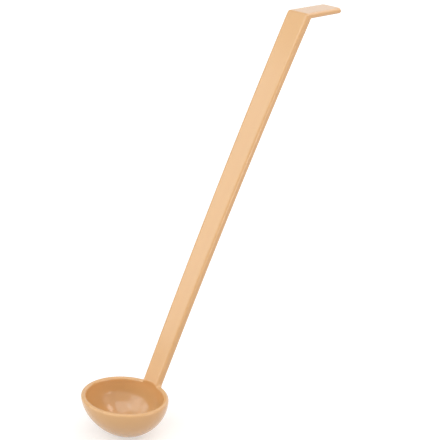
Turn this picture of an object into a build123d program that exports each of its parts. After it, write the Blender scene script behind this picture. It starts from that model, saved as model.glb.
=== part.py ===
from build123d import *
import os
from math import acos, cos, radians, sin, sqrt

# A ladle moulded in one piece: a round bowl, a long flat handle that leans away from it, and a flat hook tab.
# Millimetres and degrees. The origin is the centre of the bowl's flat foot, and +Z is up. The handle rises on
# the +Y side, and the whole ladle is symmetric about x = 0. The moulding is divided at two planes square to
# the handle, where the bowl's root ends and where the hook begins.

# Bowl
lip_radius = 24.0            # outside, where the lip is widest
wall_thickness = 2.8         # at the lip, which is rounded over its whole thickness
floor_thickness = 2.6        # above the foot
bowl_height = 24.2           # from the foot to the top of the lip
deepest_point_setback = 3.8  # how far the foot's centre lies behind the lip's centre, towards the handle
foot_radius = 3.5            # flat disc under the bowl
bowl_profile_power = 1.82    # 2 would be an ellipse, and less is more pointed
profile_point_count = 25
profile_turn = -90.0         # degrees, which starts the bowl's turned faces at its front, away from the handle

# Handle
handle_base_width = 11.0     # level with the lip
handle_top_width = 14.8      # where the hook begins
strap_thickness = 4.8        # of the handle, from its front face to its back
front_edge_radius = 1.9      # rounding along the edges of the handle's front face and of the tab's top face
back_edge_radius = 1.0       # rounding along the edges of the handle's back face and of the tab's underside
strap_length = 227.0         # along the middle of the handle, from the lip's plane to the top of the tab
lean_at_bowl = 26.4          # degrees from vertical
lean_at_hook = 30.3          # more than at the bowl, so the handle bows outwards
handle_section_count = 5

# Root of the handle, moulded with the bowl
root_height = 10.0           # along the handle, from the lip's plane up to the seam
root_depth = 5.0             # along the handle, from the lip's plane down into the wall
root_setback = 0.05          # how far the root stops behind the inside of the wall

# Hook
hook_stub_length = 8.0       # along the middle of the handle, from the seam to the top of the tab
seam_tolerance = 0.01        # an edge closer to the seam than this lies on it
outer_bend_surplus = 0.1     # by how much the outer bend's radius exceeds the rounding of the edges beside it
inner_bend_radius = 1.0
tab_thickness = 3.1
tab_length = 36.2            # from the unrounded corner of the handle's front and the tab's top to the tip
tab_tip_width = 14.5
tab_corner_radius = 3.0      # the tip's two corners, seen from above

# Places that follow from the sizes
quarter_turn = radians(90.0)
lip_rounding = wall_thickness / 2
lip_base_z = bowl_height - lip_rounding
inner_radius = lip_radius - wall_thickness
bow_angle = radians(lean_at_hook - lean_at_bowl)
handle_top = strap_length - hook_stub_length

# The two roundings stay within the thinner wall, which is the tab's.
rounded_share = 0.95
rounding_scale = min(1, tab_thickness * rounded_share / (front_edge_radius + back_edge_radius))
front_rounding = front_edge_radius * rounding_scale
back_rounding = back_edge_radius * rounding_scale

# The handle's front face comes down flush with the inside of the wall.
lip_centre_y = -deepest_point_setback
front_y = lip_centre_y + sqrt(inner_radius**2 - (handle_base_width / 2) ** 2)
strap_middle_y = front_y + strap_thickness / 2 / cos(radians(lean_at_bowl))


def bowl_profile(radius, depth):
    """A line from the base of the lip down to the bowl's axis, upright at the lip and level at the axis."""
    points = []
    for index in range(profile_point_count):
        angle = quarter_turn * index / (profile_point_count - 1)
        across = radius * max(cos(angle), 0) ** (2 / bowl_profile_power)
        down = depth * sin(angle) ** (2 / bowl_profile_power)
        points.append((across, 0, lip_base_z - down))
    return Spline(points, tangents=((0, 0, -1), (-1, 0, 0)))


def outer_profile():
    """The bowl's outside, which passes the edge of the foot and is cut off there."""
    angle_at_foot = acos((foot_radius / lip_radius) ** (bowl_profile_power / 2))
    return bowl_profile(lip_radius, lip_base_z / sin(angle_at_foot) ** (2 / bowl_profile_power))


def inner_profile(setback=0):
    """The bowl's inside, or a line that lies this far behind it in the wall."""
    return bowl_profile(inner_radius + setback, lip_base_z - floor_thickness + setback)


def turned_and_set_back(outline):
    """Turn an outline about the Z axis, then slide each level forwards in step with its height."""
    solid = revolve(make_face(Wire(outline)), axis=Axis.Z).rotate(Axis.Z, profile_turn)
    slide = deepest_point_setback / bowl_height
    return solid.transform_geometry(Matrix([[1, 0, 0, 0], [0, 1, -slide, 0], [0, 0, 1, 0]]))


def make_shell():
    outer = outer_profile()
    inner = inner_profile()
    lip_top = (lip_radius - lip_rounding, 0, bowl_height)
    shell = turned_and_set_back([
        outer,
        Line(outer @ 1, inner @ 1),
        inner,
        ThreePointArc(inner @ 0, lip_top, outer @ 0),
    ])
    return split(shell, bisect_by=Plane.XY, keep=Keep.TOP)


def make_root_limit(top_z):
    """The space inside the bowl, carried straight up to top_z, and the skin of the wall that the root leaves."""
    inner = inner_profile(root_setback)
    top_edge = ((inner @ 0).X, 0, top_z)
    return turned_and_set_back([
        inner,
        Line(inner @ 1, (0, 0, top_z)),
        Line((0, 0, top_z), top_edge),
        Line(top_edge, inner @ 0),
    ])


def strap_plane(along):
    """The plane square to the handle, this far along its middle from the lip's plane. Its y points back."""
    turn = bow_angle * along / handle_top
    chord = along * sin(turn / 2) / (turn / 2) if turn else along
    heading = radians(lean_at_bowl) + turn / 2
    lean = radians(lean_at_bowl) + turn
    middle = (0, strap_middle_y + chord * sin(heading), bowl_height + chord * cos(heading))
    return Plane(origin=middle, x_dir=(1, 0, 0), z_dir=(0, sin(lean), cos(lean)))


def strap_section(along):
    """The handle's outline square to its length, with its front face towards -y."""
    width = handle_base_width + (handle_top_width - handle_base_width) * along / handle_top
    outline = Rectangle(width, strap_thickness)
    outline = fillet(outline.vertices().sort_by(Axis.Y)[:2], front_rounding)
    outline = fillet(outline.vertices().sort_by(Axis.Y)[-2:], back_rounding)
    return strap_plane(along) * outline


def strap_between(low, high, section_count):
    step = (high - low) / (section_count - 1)
    return loft([strap_section(low + step * index) for index in range(section_count)])


def make_bowl():
    root = strap_between(-root_depth, root_height, 2)
    return make_shell() + (root - make_root_limit(bowl_height + root_height))


def make_handle():
    return strap_between(root_height, handle_top, handle_section_count)


def hook_side(seam_plane):
    """The hook's outline in the plane x = 0: the seam's front, then the tab's top, tip and underside."""
    along = seam_plane.z_dir
    across = seam_plane.y_dir * (strap_thickness / 2)
    top_z = (seam_plane.origin + along * hook_stub_length).Z
    underside_z = top_z - tab_thickness
    front = seam_plane.origin - across
    back = seam_plane.origin + across
    outer_corner = front + along * ((top_z - front.Z) / along.Z)
    inner_corner = back + along * ((underside_z - back.Z) / along.Z)
    tip_y = outer_corner.Y + tab_length
    corners = [front, outer_corner, (0, tip_y, top_z), (0, tip_y, underside_z), inner_corner, back]
    return make_face(Polyline(*corners, close=True)), outer_corner, inner_corner


def tab_outline(seam_y, bend_y):
    """The hook seen from above, from behind its seam out to the tab's tip."""
    half_base = handle_top_width / 2
    half_tip = tab_tip_width / 2
    tip_y = bend_y + tab_length
    outline = make_face(Wire([
        Line((half_base, seam_y), (half_base, bend_y)),
        TangentArc((half_base, bend_y), (half_tip, tip_y), tangent=(0, 1)),
        Line((half_tip, tip_y), (-half_tip, tip_y)),
        TangentArc((-half_base, bend_y), (-half_tip, tip_y), tangent=(0, 1)),
        Line((-half_base, bend_y), (-half_base, seam_y)),
        Line((-half_base, seam_y), (half_base, seam_y)),
    ]))
    return fillet(outline.vertices().sort_by(Axis.Y)[-2:], tab_corner_radius)


def nearest_bend(blank, corner):
    """The edge across the hook that passes through a corner of its side outline."""
    return blank.edges().filter_by(Axis.X).sort_by_distance(corner)[0]


def edges_to_round(hook, seam_plane, middle_z):
    """The edges round the front and top face and those round the back and underside, less the seam's own."""
    edges = hook.edges()
    beyond_seam = edges.filter_by(lambda edge: seam_plane.to_local_coords(edge.center()).Z > seam_tolerance)
    across = beyond_seam.filter_by(Axis.X)
    upright = beyond_seam.filter_by(Axis.Z)
    along = [edge for edge in beyond_seam if edge not in across and edge not in upright]
    front_and_top = []
    back_and_underside = []
    for edge in along + across.sort_by(Axis.Y)[-2:]:
        centre = edge.center()
        in_front = seam_plane.to_local_coords(centre).Y < 0 or centre.Z > middle_z
        (front_and_top if in_front else back_and_underside).append(edge)
    return front_and_top, back_and_underside


def make_hook():
    seam_plane = strap_plane(handle_top)
    side, outer_corner, inner_corner = hook_side(seam_plane)
    blank = extrude(side, handle_top_width / 2, dir=(1, 0, 0), both=True)
    blank = fillet(nearest_bend(blank, outer_corner), front_rounding + outer_bend_surplus)
    blank = fillet(nearest_bend(blank, inner_corner), inner_bend_radius)
    seam_y = (seam_plane.origin - seam_plane.y_dir * strap_thickness).Y
    seen_from_above = tab_outline(seam_y, outer_corner.Y)
    blank = blank & extrude(seen_from_above, outer_corner.Z + strap_thickness, dir=(0, 0, 1))
    middle_z = outer_corner.Z - tab_thickness / 2
    _, back_and_underside = edges_to_round(blank, seam_plane, middle_z)
    hook = fillet(back_and_underside, back_rounding)
    front_and_top, _ = edges_to_round(hook, seam_plane, middle_z)
    return fillet(front_and_top, front_rounding)


parts = {"bowl": make_bowl(), "handle": make_handle(), "hook": make_hook()}

os.makedirs("parts", exist_ok=True)
for node, shape in parts.items():
    export_step(shape, f"parts/{node}.step")
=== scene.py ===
import logging
import math
from collections.abc import Callable, Iterable
from dataclasses import dataclass
from enum import Enum

import bmesh
import bpy
import numpy as np
from mathutils import Matrix, Vector


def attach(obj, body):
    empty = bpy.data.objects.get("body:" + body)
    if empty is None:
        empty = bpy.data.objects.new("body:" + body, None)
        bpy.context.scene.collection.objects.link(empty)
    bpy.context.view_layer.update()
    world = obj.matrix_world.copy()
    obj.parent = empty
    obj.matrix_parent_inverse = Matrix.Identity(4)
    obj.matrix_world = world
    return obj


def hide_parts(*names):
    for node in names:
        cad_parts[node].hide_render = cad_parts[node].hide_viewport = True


# A ladle moulded in one piece from glossy beige plastic. Its three pieces are the bowl with its lip, foot and
# root, the long flat handle, and the hook. Metres. The origin is the centre of the bowl's foot, +Z is up, and
# the handle rises on the +Y side. Each piece follows the same formulas as its neighbours, so that the surface
# and its shading run on across both seams.

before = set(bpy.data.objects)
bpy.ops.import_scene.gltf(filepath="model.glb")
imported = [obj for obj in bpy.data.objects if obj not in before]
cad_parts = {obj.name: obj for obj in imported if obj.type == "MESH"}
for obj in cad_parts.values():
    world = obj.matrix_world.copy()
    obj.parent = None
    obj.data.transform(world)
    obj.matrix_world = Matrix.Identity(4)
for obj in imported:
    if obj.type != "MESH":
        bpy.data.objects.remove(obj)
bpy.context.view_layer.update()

LOG = logging.getLogger("ladle")
MM = 0.001

Colour = tuple[float, float, float]
WHITE: Colour = (1.0, 1.0, 1.0)
COOL: Colour = (0.87, 1.0, 1.08)  # the lamps high in front, which the handle's face turns to
WARM: Colour = (1.0, 0.87, 0.77)  # the surroundings, and the lamps low in front, above and on the right

ACROSS = np.array([1.0, 0.0, 0.0])
UP = np.array([0.0, 0.0, 1.0])
NO_LENGTH = 1e-12  # stands for a length of zero, which nothing can be divided by
NO_REACH = 1e-9  # stands for a fillet's reach of zero, for the same reason
NEAR_AXIS = 1e-7  # stands for a radius of zero, where a slope can't be worked out
CAP_AGREEMENT = 0.9995  # cosine between a cap's face and the way the cap looks
CAP_CORNERS = 8  # a cap's face has more corners than this


class Piece(Enum):
    """The named pieces of the ladle, as the model names them."""

    BOWL = "bowl"
    HANDLE = "handle"
    HOOK = "hook"


def smooth_union(first: np.ndarray, second: np.ndarray, reach: np.ndarray) -> np.ndarray:
    """Join two distance fields with a soft fillet.

    Args:
        first: Signed distances to the first form.
        second: Signed distances to the second form.
        reach: How far from the crease the fillet reaches, one value a point, or zero for none.

    Returns:
        Signed distances to the joined form.
    """
    reach = np.maximum(reach, NO_REACH)
    overlap = np.maximum(reach - np.abs(first - second), 0.0) / reach
    return np.minimum(first, second) - overlap**2 * reach / 4


def smooth_cut(first: np.ndarray, second: np.ndarray, reach: float) -> np.ndarray:
    """Keep what lies in both of two distance fields, with a softened edge.

    Args:
        first: Signed distances to the first form.
        second: Signed distances to the second form.
        reach: How far from the edge the softening reaches.

    Returns:
        Signed distances to what is common to both.
    """
    return -smooth_union(-first, -second, np.full_like(first, reach))


def field_normals(
    field: Callable[[np.ndarray], np.ndarray], points: np.ndarray, step: float = 0.02 * MM
) -> np.ndarray:
    """Measure which way a distance field grows.

    Args:
        field: A function from points to signed distances.
        points: Places to measure, one a row.
        step: Spacing of the samples on each side of a place.

    Returns:
        The gradient at each place, one a row.
    """
    gradient = np.empty_like(points)
    for axis in range(3):
        shift = np.zeros(3)
        shift[axis] = step
        gradient[:, axis] = (field(points + shift) - field(points - shift)) / (2 * step)
    return gradient


def unit(vectors: np.ndarray) -> np.ndarray:
    """Scale each row to a length of one."""
    return vectors / np.maximum(np.linalg.norm(vectors, axis=1, keepdims=True), NO_LENGTH)


@dataclass(frozen=True)
class StrapLine:
    """The handle's middle line, an arc in the plane x = 0 that starts level with the lip and leans back.

    It starts where the handle's front face comes down flush with the inside of the bowl's wall.
    """

    start_y: float = 19.35356 * MM
    start_z: float = 24.2 * MM
    lean_start: float = math.radians(26.4)
    lean_end: float = math.radians(30.3)
    length: float = 219.0 * MM

    @property
    def arc_radius(self) -> float:
        """Radius of the bow."""
        return self.length / (self.lean_end - self.lean_start)

    def lean(self, along: float) -> float:
        """Angle from vertical at a distance along the line."""
        return self.lean_start + along / self.arc_radius

    def back(self, along: float) -> np.ndarray:
        """Direction from the handle's front face to its back."""
        return np.array([0.0, math.cos(self.lean(along)), -math.sin(self.lean(along))])

    def onward(self, along: float) -> np.ndarray:
        """Direction of the line towards the hook."""
        return np.array([0.0, math.sin(self.lean(along)), math.cos(self.lean(along))])

    def centre(self) -> np.ndarray:
        """Centre of the bow's arc."""
        return np.array([0.0, self.start_y, self.start_z]) + self.back(0.0) * self.arc_radius

    def middle(self, along: float) -> np.ndarray:
        """The point at a distance along the line."""
        return self.centre() - self.back(along) * self.arc_radius

    def locate(self, points: np.ndarray) -> tuple[np.ndarray, np.ndarray]:
        """Find where points lie relative to the line.

        Args:
            points: Places, one a row.

        Returns:
            Distances along the line, and distances behind it.
        """
        spoke = points - self.centre()
        lean = np.arctan2(spoke[:, 2], -spoke[:, 1])
        return (lean - self.lean_start) * self.arc_radius, self.arc_radius - np.hypot(spoke[:, 1], spoke[:, 2])


@dataclass(frozen=True)
class StrapSection:
    """The handle's cross-section: a flat strap with large front roundings and small back ones."""

    base_width: float = 11.0 * MM
    top_width: float = 14.8 * MM
    length: float = 219.0 * MM
    thickness: float = 4.8 * MM
    front_edge: float = 1.9 * MM
    back_edge: float = 1.0 * MM
    corner_steps: int = 10

    def width(self, along: float | np.ndarray) -> float | np.ndarray:
        """Width at a distance along the handle."""
        return self.base_width + (self.top_width - self.base_width) * along / self.length

    def distance(self, x: np.ndarray, behind: np.ndarray, along: np.ndarray) -> np.ndarray:
        """Measure how far points are from the strap's surface.

        Args:
            x: Distances across the handle from its middle.
            behind: Distances behind its middle line.
            along: Distances along it.

        Returns:
            Signed distances, negative inside.
        """
        edge = np.where(behind < 0, self.front_edge, self.back_edge)
        across = np.abs(x) - self.width(along) / 2 + edge
        deep = np.abs(behind) - self.thickness / 2 + edge
        outside = np.hypot(np.maximum(across, 0), np.maximum(deep, 0))
        return np.minimum(np.maximum(across, deep), 0) + outside - edge

    def half_outline(self) -> tuple[np.ndarray, np.ndarray, np.ndarray, np.ndarray]:
        """List the +x half of the outline from the back face round to the front face.

        Returns:
            Insets from the side face, depths from the back or front face, sideways parts of the normals, and
            whether each point belongs to the front.
        """
        turn = np.linspace(0.0, math.pi / 2, self.corner_steps + 1)
        insets = np.concatenate([self.back_edge * (1 - np.sin(turn)), self.front_edge * (1 - np.cos(turn))])
        depths = np.concatenate([self.back_edge * (1 - np.cos(turn)), self.front_edge * (1 - np.sin(turn))])
        sideways = np.concatenate([np.sin(turn), np.cos(turn)])
        front = np.concatenate([np.zeros(len(turn), bool), np.ones(len(turn), bool)])
        return insets, depths, sideways, front


def add_noise(
    tree: bpy.types.NodeTree, scale: float, detail: float, distortion: float = 0.0
) -> bpy.types.NodeSocket:
    """Add a noise that is fixed to the piece.

    Args:
        tree: The material's nodes.
        scale: Fineness of the noise.
        detail: How many finer layers it has.
        distortion: How far it is warped.

    Returns:
        The noise's value.
    """
    place = tree.nodes.new("ShaderNodeTexCoord")
    noise = tree.nodes.new("ShaderNodeTexNoise")
    noise.inputs["Scale"].default_value = scale
    noise.inputs["Detail"].default_value = detail
    noise.inputs["Distortion"].default_value = distortion
    tree.links.new(place.outputs["Object"], noise.inputs["Vector"])
    return noise.outputs["Fac"]


def add_range(
    tree: bpy.types.NodeTree, value: bpy.types.NodeSocket, source: tuple[float, float], target: tuple[float, float]
) -> bpy.types.NodeSocket:
    """Stretch a value from one range to another.

    Args:
        tree: The nodes it is part of.
        value: The value.
        source: The range that it comes in.
        target: The range that it is wanted in.

    Returns:
        The stretched value.
    """
    stretch = tree.nodes.new("ShaderNodeMapRange")
    stretch.inputs["From Min"].default_value, stretch.inputs["From Max"].default_value = source
    stretch.inputs["To Min"].default_value, stretch.inputs["To Max"].default_value = target
    tree.links.new(value, stretch.inputs["Value"])
    return stretch.outputs["Result"]


def add_tint(
    tree: bpy.types.NodeTree, factor: bpy.types.NodeSocket, first: Colour, second: Colour
) -> bpy.types.NodeSocket:
    """Mix two colours.

    Args:
        tree: The nodes it is part of.
        factor: 0 for the first colour, and 1 for the second.
        first: The first colour.
        second: The second colour.

    Returns:
        The mixed colour.
    """
    tint = tree.nodes.new("ShaderNodeMix")
    tint.data_type = "RGBA"
    tint.inputs["A"].default_value = (*first, 1.0)
    tint.inputs["B"].default_value = (*second, 1.0)
    tree.links.new(factor, tint.inputs["Factor"])
    return tint.outputs["Result"]


def add_seen(tree: bpy.types.NodeTree) -> bpy.types.NodeSocket:
    """Add a value that is 1 to the eye and in reflections, and 0 for the light that falls on things.

    Args:
        tree: The nodes it is part of.

    Returns:
        The value.
    """
    path = tree.nodes.new("ShaderNodeLightPath")
    seen = path.outputs["Is Camera Ray"]
    for ray in ("Is Glossy Ray", "Is Transmission Ray"):
        either = tree.nodes.new("ShaderNodeMath")
        either.operation = "MAXIMUM"
        tree.links.new(seen, either.inputs[0])
        tree.links.new(path.outputs[ray], either.inputs[1])
        seen = either.outputs[0]
    return seen


@dataclass(frozen=True)
class MouldedPlastic:
    """Glossy injection-moulded plastic, one colour throughout, with faint clouding and a fine orange peel."""

    name: str
    colour: Colour = (0.681, 0.396, 0.171)
    clouded: Colour = (0.665, 0.378, 0.158)
    cloud_scale: float = 38.0
    cloud_detail: float = 3.0
    cloud_distortion: float = 0.6
    roughness: tuple[float, float] = (0.11, 0.19)
    rub_scale: float = 90.0
    rub_detail: float = 5.0
    rub_levels: tuple[float, float] = (0.3, 0.7)
    refraction: float = 1.6
    peel_height: float = 0.012 * MM
    peel_scale: float = 650.0
    peel_detail: float = 2.0
    peel_strength: float = 0.20

    def make(self) -> bpy.types.Material:
        """Build the node material.

        Returns:
            The finished material.
        """
        material = bpy.data.materials.new(self.name)
        material.use_nodes = True
        tree = material.node_tree
        shader = tree.nodes["Principled BSDF"]
        shader.inputs["IOR"].default_value = self.refraction

        clouds = add_noise(tree, self.cloud_scale, self.cloud_detail, self.cloud_distortion)
        tree.links.new(add_tint(tree, clouds, self.colour, self.clouded), shader.inputs["Base Color"])

        rubbed = add_noise(tree, self.rub_scale, self.rub_detail)
        tree.links.new(add_range(tree, rubbed, self.rub_levels, self.roughness), shader.inputs["Roughness"])

        bump = tree.nodes.new("ShaderNodeBump")
        bump.inputs["Strength"].default_value = self.peel_strength
        bump.inputs["Distance"].default_value = self.peel_height
        tree.links.new(add_noise(tree, self.peel_scale, self.peel_detail), bump.inputs["Height"])
        tree.links.new(bump.outputs["Normal"], shader.inputs["Normal"])
        return material


def mirrored(half: np.ndarray) -> np.ndarray:
    """Complete a half outline with its mirror image, to go once round the section."""
    return np.concatenate([half, half[::-1] * np.array([-1.0, 1.0, 1.0])])


def loft(rings: list[np.ndarray], weld_end: bool) -> tuple[list[tuple], list[tuple]]:
    """Skin a row of closed rings, each with the same count of points.

    Args:
        rings: The rings, each with one point a row.
        weld_end: Whether the last ring is folded flat on the plane x = 0, so that its halves are welded.

    Returns:
        The points and the faces, with a flat cap on each open end.
    """
    count = len(rings[0])
    points = [tuple(point) for ring in rings for point in ring]
    faces = []
    for row in range(len(rings) - 1):
        for column in range(count):
            following = (column + 1) % count
            faces.append((
                row * count + column,
                (row + 1) * count + column,
                (row + 1) * count + following,
                row * count + following,
            ))
    faces.append(tuple(range(count)))
    if not weld_end:
        faces.append(tuple((len(rings) - 1) * count + column for column in reversed(range(count))))
    return points, faces


def link_object(name: str, mesh: bpy.types.Mesh) -> bpy.types.Object:
    """Put a mesh into the scene as an object at the origin."""
    made = bpy.data.objects.new(name, mesh)
    bpy.context.scene.collection.objects.link(made)
    return made


def make_mesh(name: str, points: Iterable, faces: Iterable) -> bpy.types.Mesh:
    """Make a mesh from points and from faces that are rows of point numbers."""
    mesh = bpy.data.meshes.new(name)
    mesh.from_pydata([tuple(map(float, point)) for point in points], [], faces)
    return mesh


def make_skin(piece: Piece, points: Iterable, faces: Iterable, material: bpy.types.Material) -> bpy.types.Object:
    """Make a piece's object at the origin and give it its material.

    Args:
        piece: Which piece it is.
        points: Its points, in the ladle's frame.
        faces: Its faces, as rows of point numbers.
        material: Its finish.

    Returns:
        The new object.
    """
    name = f"{piece.value}_skin"
    mesh = make_mesh(name, points, faces)
    mesh.materials.append(material)
    return link_object(name, mesh)


def shade(made: bpy.types.Object, normals: np.ndarray, cap_normals: list[np.ndarray]) -> None:
    """Shade a piece by the true normals of its form, and its caps flat.

    Args:
        made: The piece.
        normals: One true normal for each of its points.
        cap_normals: The directions that its caps face.
    """
    mesh = made.data
    mesh.shade_smooth()
    corner_normals = normals[[loop.vertex_index for loop in mesh.loops]]
    for polygon in mesh.polygons:
        facing_out = any(Vector(cap).dot(polygon.normal) > CAP_AGREEMENT for cap in cap_normals)
        if facing_out and polygon.loop_total > CAP_CORNERS:
            corner_normals[list(polygon.loop_indices)] = np.array(polygon.normal)
    mesh.normals_split_custom_set([tuple(normal) for normal in corner_normals])


def fit_out(made: bpy.types.Object, piece: Piece) -> bpy.types.Object:
    """Put a piece on the ladle's body in place of its plain node, and report it."""
    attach(made, "root")
    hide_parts(piece.value)
    LOG.info("%s: %d points, %d faces", made.name, len(made.data.vertices), len(made.data.polygons))
    return made


class StrapSkin:
    """The skin of a strap that grows ring by ring, with the true normal at each of its points."""

    def __init__(self, section: StrapSection) -> None:
        """Start without a ring.

        Args:
            section: The strap's cross-section.
        """
        self.insets, self.depths, self.sideways, self.front = section.half_outline()
        self.flatness = np.sqrt(np.maximum(1 - self.sideways**2, 0)) * np.where(self.front, 1, -1)
        self.rings: list[np.ndarray] = []
        self.normals: list[np.ndarray] = []

    def add_half(self, side: np.ndarray, normals: np.ndarray) -> None:
        """Add one ring from the points and normals of its +x half."""
        self.rings.append(mirrored(side))
        self.normals.append(mirrored(normals))

    def add(self, face_point: np.ndarray, rear_point: np.ndarray, facing: np.ndarray, half_width: float) -> None:
        """Add one ring.

        Args:
            face_point: A point on the strap's front face, in the plane x = 0.
            rear_point: The point on its back face behind that one.
            facing: The direction that the front face looks in.
            half_width: Half the strap's width there.
        """
        inwards = np.where(self.front, -self.depths, self.depths)
        start = np.where(self.front[:, None], face_point, rear_point)
        side = start + np.outer(inwards, facing) + np.outer(half_width - self.insets, ACROSS)
        self.add_half(side, np.outer(self.sideways, ACROSS) + np.outer(self.flatness, facing))


@dataclass
class Bowl:
    """The round bowl with its lip, its foot and the root of the handle."""

    line: StrapLine
    section: StrapSection
    lip_radius: float = 24.0 * MM
    wall: float = 2.8 * MM
    floor: float = 2.6 * MM
    height: float = 24.2 * MM
    setback: float = 3.8 * MM
    foot_radius: float = 3.5 * MM
    power: float = 1.82
    root_height: float = 10.0 * MM
    root_depth: float = 5.0 * MM
    spare_root: float = 1.5 * MM
    root_fillet: float = 2.4 * MM
    crease_fillet: float = 0.5 * MM
    foot_edge: float = 0.4 * MM
    mesh_size: float = 0.42 * MM
    cut_tolerance: float = 0.001 * MM
    axis_gap: float = 0.01 * MM
    flattest: float = 0.02  # least slope of a cup's formula that a distance is worked out from
    shallowest: float = 0.25  # least squared slope of the whole form, for the same reason
    blank_steps: int = 28
    blank_lip_steps: int = 14
    blank_sides: int = 128
    settle_rounds: int = 6
    settle_share: float = 0.6
    pull_rounds: int = 3

    @property
    def lip_rounding(self) -> float:
        """Radius of the lip's full rounding."""
        return self.wall / 2

    @property
    def lip_base(self) -> float:
        """Height at which the wall ends and the lip's rounding begins."""
        return self.height - self.lip_rounding

    @property
    def inner_radius(self) -> float:
        """Radius of the hollow at the lip."""
        return self.lip_radius - self.wall

    @property
    def inner_depth(self) -> float:
        """Depth of the hollow below the base of the lip."""
        return self.lip_base - self.floor

    @property
    def outer_depth(self) -> float:
        """Depth of the outside's full curve, which the foot cuts short."""
        turn = math.acos((self.foot_radius / self.lip_radius) ** (self.power / 2))
        return self.lip_base / math.sin(turn) ** (2 / self.power)

    def upright(self, points: np.ndarray) -> tuple[np.ndarray, np.ndarray]:
        """Undo the bowl's forward slide, and give radius and height."""
        slid = points[:, 1] + self.setback / self.height * points[:, 2]
        return np.hypot(points[:, 0], slid), points[:, 2]

    def cup(self, radius: float, depth: float, from_axis: np.ndarray, height: np.ndarray) -> np.ndarray:
        """Measure how far points are from a cup-shaped surface that is open and upright at the top.

        Args:
            radius: The cup's radius at the top.
            depth: Its depth on the axis.
            from_axis: Each point's radius.
            height: Each point's height.

        Returns:
            Signed distances, negative inside the cup.
        """
        down = np.maximum(self.lip_base - height, 0.0) / depth
        out = np.maximum(from_axis, NEAR_AXIS) / radius
        level = out**self.power + down**self.power
        slope_out = self.power * out ** (self.power - 1) / radius
        slope_down = self.power * down ** (self.power - 1) / depth
        curved = (level - 1) / np.maximum(np.hypot(slope_out, slope_down), self.flattest / radius)
        return np.where(height > self.lip_base, from_axis - radius, curved)

    def shell(self, points: np.ndarray) -> np.ndarray:
        """Measure how far points are from the wall with its rounded lip and flat foot."""
        from_axis, height = self.upright(points)
        outside = self.cup(self.lip_radius, self.outer_depth, from_axis, height)
        inside = self.cup(self.inner_radius, self.inner_depth, from_axis, height)
        wall = np.maximum(outside, -inside)
        lip = np.hypot(from_axis - self.lip_radius + self.lip_rounding, height - self.lip_base) - self.lip_rounding
        body = np.where(height > self.lip_base, lip, wall)
        return smooth_cut(body, -height, self.foot_edge)

    def root(self, points: np.ndarray) -> np.ndarray:
        """Measure how far points are from the root, which stops at the inside of the wall."""
        from_axis, height = self.upright(points)
        along, behind = self.line.locate(points)
        strap = self.section.distance(points[:, 0], behind, along)
        hollow = self.cup(self.inner_radius, self.inner_depth, from_axis, height)
        strap = smooth_cut(strap, -hollow, self.crease_fillet)
        ends = np.maximum(-self.root_depth - along, along - self.root_height - self.spare_root)
        return np.maximum(strap, ends)

    def form(self, points: np.ndarray) -> np.ndarray:
        """Measure how far points are from the whole bowl, its root filleted into the outside of the wall."""
        from_axis, _ = self.upright(points)
        outwards = np.clip((from_axis - self.inner_radius) / self.wall, 0.0, 1.0)
        return smooth_union(self.shell(points), self.root(points), self.root_fillet * outwards)

    def cup_line(self, radius: float, depth: float) -> np.ndarray:
        """List a cup's radius and height from its top down to its axis."""
        steps = np.linspace(0.0, math.pi / 2, self.blank_steps)
        bend = 2 / self.power
        return np.stack([radius * np.cos(steps) ** bend, self.lip_base - depth * np.sin(steps) ** bend], axis=1)

    def blank_rings(self) -> list[np.ndarray]:
        """List the turned wall's rings, from the foot up over the lip and down the inside.

        Returns:
            The rings, each with one point a row.
        """
        outside = self.cup_line(self.lip_radius, self.outer_depth)
        outside[:, 1] = np.maximum(outside[:, 1], 0.0)
        over = np.linspace(0.0, math.pi, self.blank_lip_steps)[1:-1]
        lip = np.stack([
            self.lip_radius - self.lip_rounding + self.lip_rounding * np.cos(over),
            self.lip_base + self.lip_rounding * np.sin(over),
        ], axis=1)
        profile = np.concatenate([outside[::-1], lip, self.cup_line(self.inner_radius, self.inner_depth)])
        profile[:, 0] = np.maximum(profile[:, 0], self.axis_gap)
        around = np.linspace(0.0, 2 * math.pi, self.blank_sides + 1)[:-1]
        return [
            np.stack([
                out * np.cos(around),
                out * np.sin(around) - self.setback / self.height * up,
                np.full_like(around, up),
            ], axis=1)
            for out, up in profile
        ]

    def root_end(self, along: float) -> np.ndarray:
        """List the four corners of the root's blank at a distance along the handle."""
        half_x = self.section.width(along) / 2 * np.array([1, 1, -1, -1])
        half_y = self.section.thickness / 2 * np.array([-1, 1, 1, -1])
        return self.line.middle(along) + np.outer(half_x, ACROSS) + np.outer(half_y, self.line.back(along))

    def rough_blank(self) -> bpy.types.Object:
        """Make a rough closed blank: a turned wall and a straight root that overlap."""
        points, faces = loft(self.blank_rings(), weld_end=False)
        ends = [self.root_end(-self.root_depth), self.root_end(self.root_height + self.spare_root)]
        more_points, more_faces = loft(ends, weld_end=False)
        faces += [tuple(len(points) + index for index in face) for face in more_faces]
        mesh = make_mesh("bowl_blank", points + more_points, faces)
        shaping = bmesh.new()
        shaping.from_mesh(mesh)
        bmesh.ops.recalc_face_normals(shaping, faces=shaping.faces[:])
        shaping.to_mesh(mesh)
        shaping.free()
        return link_object("bowl_blank", mesh)

    def settle(self, points: np.ndarray, edges: np.ndarray) -> np.ndarray:
        """Even out the mesh and bring every point onto the true form.

        Args:
            points: The mesh's points, one a row.
            edges: Pairs of point numbers.

        Returns:
            The settled points.
        """
        count = np.bincount(edges.ravel(), minlength=len(points))[:, None]
        for _ in range(self.settle_rounds):
            around = np.zeros_like(points)
            np.add.at(around, edges[:, 0], points[edges[:, 1]])
            np.add.at(around, edges[:, 1], points[edges[:, 0]])
            points = points * (1 - self.settle_share) + around / count * self.settle_share
            for _ in range(self.pull_rounds):
                gradient = field_normals(self.form, points)
                size = np.maximum((gradient**2).sum(axis=1), self.shallowest)
                step = np.clip(self.form(points) / size, -self.mesh_size, self.mesh_size)
                points = points - gradient * step[:, None]
        return points

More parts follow.
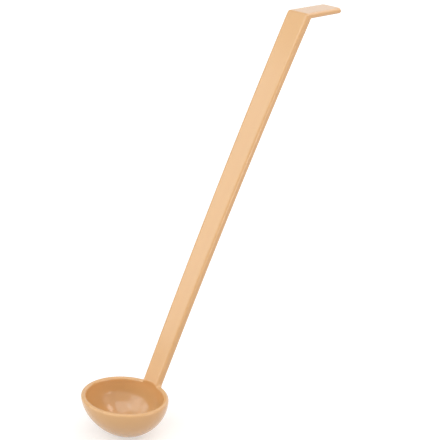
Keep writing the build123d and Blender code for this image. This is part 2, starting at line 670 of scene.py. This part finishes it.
    def even_mesh(self) -> bpy.types.Mesh:
        """Remesh the blank evenly and settle it on the true form.

        Returns:
            The closed mesh, whose root still runs on past the seam.
        """
        blank = self.rough_blank()
        remesh = blank.modifiers.new("even_faces", "REMESH")
        remesh.mode = "VOXEL"
        remesh.voxel_size = self.mesh_size
        bpy.context.view_layer.update()
        mesh = bpy.data.meshes.new_from_object(blank.evaluated_get(bpy.context.evaluated_depsgraph_get()))
        bpy.data.objects.remove(blank)
        points = np.empty(len(mesh.vertices) * 3)
        mesh.vertices.foreach_get("co", points)
        edges = np.empty(len(mesh.edges) * 2, dtype=int)
        mesh.edges.foreach_get("vertices", edges)
        settled = self.settle(points.reshape(-1, 3), edges.reshape(-1, 2))
        mesh.vertices.foreach_set("co", settled.ravel())
        return mesh

    def build(self, material: bpy.types.Material) -> bpy.types.Object:
        """Make the bowl's skin and cut it at the root's seam.

        Args:
            material: Its finish.

        Returns:
            The finished piece.
        """
        mesh = self.even_mesh()
        shaping = bmesh.new()
        shaping.from_mesh(mesh)
        bpy.data.meshes.remove(mesh)
        seam, onward = self.line.middle(self.root_height), self.line.onward(self.root_height)
        everything = shaping.verts[:] + shaping.edges[:] + shaping.faces[:]
        bmesh.ops.bisect_plane(
            shaping, geom=everything, dist=self.cut_tolerance, plane_co=seam, plane_no=onward, clear_outer=True
        )
        rim = [edge for edge in shaping.edges if edge.is_boundary]
        bmesh.ops.contextual_create(shaping, geom=rim)
        bmesh.ops.recalc_face_normals(shaping, faces=shaping.faces[:])
        made = make_skin(Piece.BOWL, [], [], material)
        shaping.to_mesh(made.data)
        shaping.free()
        points = np.array([vertex.co for vertex in made.data.vertices])
        shade(made, unit(field_normals(self.form, points)), [onward])
        return fit_out(made, Piece.BOWL)


@dataclass
class Handle:
    """The long flat strap between the bowl's root and the hook."""

    line: StrapLine
    section: StrapSection
    lower_seam: float = 10.0 * MM
    ring_count: int = 90

    def build(self, material: bpy.types.Material) -> bpy.types.Object:
        """Make the handle's skin.

        Args:
            material: Its finish.

        Returns:
            The finished piece.
        """
        skin = StrapSkin(self.section)
        for along in np.linspace(self.lower_seam, self.line.length, self.ring_count):
            middle, back = self.line.middle(along), self.line.back(along)
            half_depth = back * self.section.thickness / 2
            skin.add(middle - half_depth, middle + half_depth, -back, self.section.width(along) / 2)
        points, faces = loft(skin.rings, weld_end=False)
        made = make_skin(Piece.HANDLE, points, faces, material)
        ends = [-self.line.onward(self.lower_seam), self.line.onward(self.line.length)]
        shade(made, np.concatenate(skin.normals), ends)
        return fit_out(made, Piece.HANDLE)


@dataclass
class Hook:
    """The bend at the top of the handle and the flat tab beyond it."""

    line: StrapLine
    section: StrapSection
    stub: float = 8.0 * MM
    outer_bend: float = 2.0 * MM
    inner_bend: float = 1.0 * MM
    tab_thickness: float = 3.1 * MM
    tab_length: float = 36.2 * MM
    tip_width: float = 14.5 * MM
    tip_corner: float = 3.0 * MM
    stub_rings: int = 8
    bend_rings: int = 16
    tab_rings: int = 16
    corner_rings: int = 12
    tip_rings: int = 4

    def add_tab(self, skin: StrapSkin, corner_y: float, face_y: float, rear_y: float, top: float) -> None:
        """Add the tab's rings, from the bend along the tab, round its corners and in to the middle of its tip.

        Args:
            skin: The skin to add them to.
            corner_y: Where the unrounded outer corner lies, from which the tab's length counts.
            face_y: Where the outer bend ends.
            rear_y: Where the inner bend ends.
            top: Height of the tab's top face.
        """
        under = top - self.tab_thickness
        half_base, half_tip = self.section.top_width / 2, self.tip_width / 2
        tip = corner_y + self.tab_length
        straight = tip - self.tip_corner
        for share in np.linspace(0.0, 1.0, self.tab_rings)[1:]:
            above = face_y + (straight - face_y) * share
            below = rear_y + (straight - rear_y) * share
            tapered = half_base - (half_base - half_tip) * ((above - corner_y) / self.tab_length) ** 2
            skin.add(np.array([0.0, above, top]), np.array([0.0, below, under]), UP, tapered)

        level = np.where(skin.front, top - skin.depths, under + skin.depths)
        corner_x = half_tip - self.tip_corner
        tilt = np.outer(skin.flatness, UP)
        for angle in np.linspace(0.0, math.pi / 2, self.corner_rings)[1:]:
            outwards = np.array([math.cos(angle), math.sin(angle), 0.0])
            side = np.outer(self.tip_corner - skin.insets, outwards) + np.array([corner_x, straight, 0.0])
            side[:, 2] = level
            skin.add_half(side, np.outer(skin.sideways, outwards) + tilt)
        for share in np.linspace(0.0, 1.0, self.tip_rings)[1:]:
            side = np.stack([np.full_like(level, corner_x * (1 - share)), tip - skin.insets, level], axis=1)
            skin.add_half(side, np.outer(skin.sideways, [0.0, 1.0, 0.0]) + tilt)

    @staticmethod
    def weld_tip(mesh: bpy.types.Mesh, half: int) -> list[int]:
        """Weld the two halves of the last ring, which lie on each other in the plane x = 0.

        Args:
            mesh: The hook's mesh, with its rings in order.
            half: How many points one half of a ring has.

        Returns:
            For each point that is left, its number before the welding.
        """
        shaping = bmesh.new()
        shaping.from_mesh(mesh)
        shaping.verts.ensure_lookup_table()
        layer = shaping.verts.layers.int.new("ring_point")
        for index, vertex in enumerate(shaping.verts):
            vertex[layer] = index
        end = len(shaping.verts)
        pairs = {shaping.verts[end - 1 - k]: shaping.verts[end - 2 * half + k] for k in range(half)}
        bmesh.ops.weld_verts(shaping, targetmap=pairs)
        order = [vertex[layer] for vertex in shaping.verts]
        shaping.to_mesh(mesh)
        shaping.free()
        mesh.attributes.remove(mesh.attributes["ring_point"])
        return order

    def build(self, material: bpy.types.Material) -> bpy.types.Object:
        """Make the hook's skin, ring by ring from the seam to the middle of the tip.

        Args:
            material: Its finish.

        Returns:
            The finished piece.
        """
        skin = StrapSkin(self.section)
        seam, onward = self.line.middle(self.line.length), self.line.onward(self.line.length)
        out = -self.line.back(self.line.length)
        half_base = self.section.top_width / 2
        top = (seam + onward * self.stub)[2]
        under = top - self.tab_thickness
        face = seam + out * self.section.thickness / 2
        rear = seam - out * self.section.thickness / 2
        outer_corner = face + onward * (top - face[2]) / onward[2]
        inner_corner = rear + onward * (under - rear[2]) / onward[2]
        turn = math.pi / 2 - self.line.lean(self.line.length)
        reach = math.tan(turn / 2)

        face_start = outer_corner - onward * self.outer_bend * reach
        rear_start = inner_corner - onward * self.inner_bend * reach
        for share in np.linspace(0.0, 1.0, self.stub_rings):
            skin.add(face + (face_start - face) * share, rear + (rear_start - rear) * share, out, half_base)

        face_pivot = face_start - out * self.outer_bend
        rear_pivot = rear_start - out * self.inner_bend
        for angle in np.linspace(0.0, turn, self.bend_rings)[1:]:
            facing = out * math.cos(angle) + onward * math.sin(angle)
            face_point = face_pivot + facing * self.outer_bend
            skin.add(face_point, rear_pivot + facing * self.inner_bend, facing, half_base)

        self.add_tab(skin, outer_corner[1], face_pivot[1], rear_pivot[1], top)
        points, faces = loft(skin.rings, weld_end=True)
        made = make_skin(Piece.HOOK, points, faces, material)
        order = self.weld_tip(made.data, len(skin.insets))
        shade(made, unit(np.concatenate(skin.normals)[order]), [-onward])
        return fit_out(made, Piece.HOOK)


@dataclass(frozen=True)
class Softbox:
    """A large soft lamp that looks at the ladle."""

    name: str
    azimuth: float
    elevation: float
    width: float
    height: float
    radiance: float
    distance: float = 1.2
    colour: Colour = WHITE

    def towards(self) -> Vector:
        """The direction from the ladle to the lamp, with azimuth 0 at -y and 90 at +x."""
        turn, lift = math.radians(self.azimuth), math.radians(self.elevation)
        return Vector((math.sin(turn) * math.cos(lift), -math.cos(turn) * math.cos(lift), math.sin(lift)))

    def place(self, target: Vector) -> bpy.types.Object:
        """Set the lamp up, with an energy that gives it its radiance whatever its size.

        Args:
            target: The point that it looks at.

        Returns:
            The lamp's object.
        """
        lamp = bpy.data.lights.new(self.name, "AREA")
        lamp.shape = "RECTANGLE"
        lamp.size, lamp.size_y = self.width, self.height
        lamp.energy = self.radiance * math.pi * self.width * self.height
        lamp.color = self.colour
        made = bpy.data.objects.new(self.name, lamp)
        bpy.context.scene.collection.objects.link(made)
        direction = self.towards()
        made.location = target + direction * self.distance
        made.rotation_euler = direction.to_track_quat("Z", "Y").to_euler()
        made.visible_camera = False
        LOG.info("lamp %s", self.name)
        return made


@dataclass
class Studio:
    """The plain pale floor, the white surroundings and the soft lamps."""

    floor_size: float = 8.0
    floor_colour: Colour = (0.62, 0.62, 0.62)
    floor_roughness: float = 0.9
    glow: tuple[float, float] = (0.50, 0.80)
    glow_radii: tuple[float, float] = (0.35, 1.60)
    ambient: float = 0.385
    ambient_colour: Colour = WARM
    target: tuple[float, float, float] = (0.0, 0.04, 0.10)
    lamps: tuple[Softbox, ...] = (
        Softbox("front_box", -26.0, 40.0, 1.45, 1.30, 0.56, colour=COOL),
        Softbox("front_core", 3.0, 37.0, 0.92, 1.02, 1.22, colour=COOL),
        Softbox("left_key", -41.0, 29.0, 0.50, 0.52, 1.25, colour=COOL),
        Softbox("upper_right_box", 60.0, 58.0, 1.05, 0.76, 1.50, colour=COOL),
        Softbox("top_box", 180.0, 82.0, 0.80, 0.80, 0.90, colour=WARM),
        Softbox("right_box", 125.0, 20.0, 0.90, 0.85, 0.35, colour=WARM),
        Softbox("rear_right_box", 131.0, 43.0, 0.42, 0.30, 3.20, colour=WARM),
        Softbox("low_right_box", 100.0, 4.5, 0.60, 0.26, 5.40, colour=WARM),
        Softbox("low_front_strip", -16.0, 4.5, 2.00, 0.17, 3.90, colour=WARM),
        Softbox("rear_left_box", -142.0, 16.0, 0.50, 0.30, 0.12, colour=COOL),
        Softbox("back_box", 178.0, 36.0, 0.90, 0.80, 0.95),
    )

    def floor_paper(self) -> bpy.types.Material:
        """Make pale paper that glows to the eye and in reflections, and more so far from the ladle.

        Returns:
            The floor's material.
        """
        material = bpy.data.materials.new("studio_paper")
        material.use_nodes = True
        tree = material.node_tree
        shader = tree.nodes["Principled BSDF"]
        shader.inputs["Base Color"].default_value = (*self.floor_colour, 1.0)
        shader.inputs["Roughness"].default_value = self.floor_roughness
        place = tree.nodes.new("ShaderNodeTexCoord")
        radius = tree.nodes.new("ShaderNodeVectorMath")
        radius.operation = "LENGTH"
        tree.links.new(place.outputs["Object"], radius.inputs[0])
        strength = tree.nodes.new("ShaderNodeMath")
        strength.operation = "MULTIPLY"
        tree.links.new(add_seen(tree), strength.inputs[0])
        tree.links.new(add_range(tree, radius.outputs["Value"], self.glow_radii, self.glow), strength.inputs[1])
        glow = tree.nodes.new("ShaderNodeEmission")
        tree.links.new(strength.outputs[0], glow.inputs["Strength"])
        both = tree.nodes.new("ShaderNodeAddShader")
        tree.links.new(shader.outputs[0], both.inputs[0])
        tree.links.new(glow.outputs[0], both.inputs[1])
        tree.links.new(both.outputs[0], tree.nodes["Material Output"].inputs["Surface"])
        return material

    def make_floor(self) -> bpy.types.Object:
        """Lay the floor, which looks white and keeps the ladle's shadow.

        Returns:
            The floor's object.
        """
        half = self.floor_size / 2
        corners = [(-half, -half, 0), (half, -half, 0), (half, half, 0), (-half, half, 0)]
        mesh = make_mesh("studio_floor", corners, [(0, 1, 2, 3)])
        mesh.materials.append(self.floor_paper())
        floor = link_object("studio_floor", mesh)
        return floor

    def light_surroundings(self) -> None:
        """Make the world white to the eye and in reflections, and an even soft light otherwise."""
        world = bpy.data.worlds.new("studio_world")
        bpy.context.scene.world = world
        world.use_nodes = True
        tree = world.node_tree
        background = tree.nodes["Background"]
        seen = add_seen(tree)
        tree.links.new(add_range(tree, seen, (0.0, 1.0), (self.ambient, 1.0)), background.inputs["Strength"])
        tree.links.new(add_tint(tree, seen, self.ambient_colour, WHITE), background.inputs["Color"])

    def build(self) -> None:
        """Set up the whole studio."""
        self.make_floor()
        self.light_surroundings()
        for lamp in self.lamps:
            lamp.place(Vector(self.target))


@dataclass(frozen=True)
class PhotoCamera:
    """The camera, placed so that the lip's centre falls where the photograph has it."""

    azimuth: float = math.radians(36.467)
    elevation: float = math.radians(19.454)
    roll: float = math.radians(5.298)
    depth: float = 766.855 * MM
    focal_pixels: float = 1400.0
    image_size: float = 440.0
    sensor: float = 36.0
    nearest: float = 0.01
    farthest: float = 50.0
    lip_pixel: tuple[float, float] = (124.722, 395.093)
    lip_centre: tuple[float, float, float] = (0.0, -3.8 * MM, 24.2 * MM)

    def place(self) -> bpy.types.Object:
        """Set the camera up and make it the scene's own.

        Returns:
            The camera's object.
        """
        data = bpy.data.cameras.new("photo_camera")
        data.sensor_width = self.sensor
        data.lens = self.focal_pixels / self.image_size * self.sensor
        data.clip_start = self.nearest
        data.clip_end = self.farthest
        camera = bpy.data.objects.new("photo_camera", data)
        bpy.context.scene.collection.objects.link(camera)
        sideways, level = math.sin(self.azimuth), math.cos(self.azimuth)
        back = Vector((
            sideways * math.cos(self.elevation), -level * math.cos(self.elevation), math.sin(self.elevation)
        ))
        right = Vector((level, sideways, 0.0))
        up = back.cross(right)
        right_rolled = right * math.cos(self.roll) + up * math.sin(self.roll)
        up_rolled = up * math.cos(self.roll) - right * math.sin(self.roll)
        middle = self.image_size / 2
        across = (self.lip_pixel[0] - middle) / self.focal_pixels * self.depth
        upwards = -(self.lip_pixel[1] - middle) / self.focal_pixels * self.depth
        place = Vector(self.lip_centre) - right_rolled * across - up_rolled * upwards + back * self.depth
        turned = Matrix((right_rolled, up_rolled, back)).transposed().to_4x4()
        camera.matrix_world = Matrix.Translation(place) @ turned
        bpy.context.scene.camera = camera
        return camera


def main() -> None:
    """Build the ladle, the studio and the camera."""
    logging.basicConfig(level=logging.INFO, format="%(name)s: %(message)s")
    bpy.context.scene.view_settings.view_transform = "Standard"
    line, section = StrapLine(), StrapSection()
    plastic = MouldedPlastic("beige_moulding").make()
    Bowl(line, section).build(plastic)
    Handle(line, section).build(plastic)
    Hook(line, section).build(plastic)
    Studio().build()
    PhotoCamera().place()


if __name__ == "__main__":
    main()
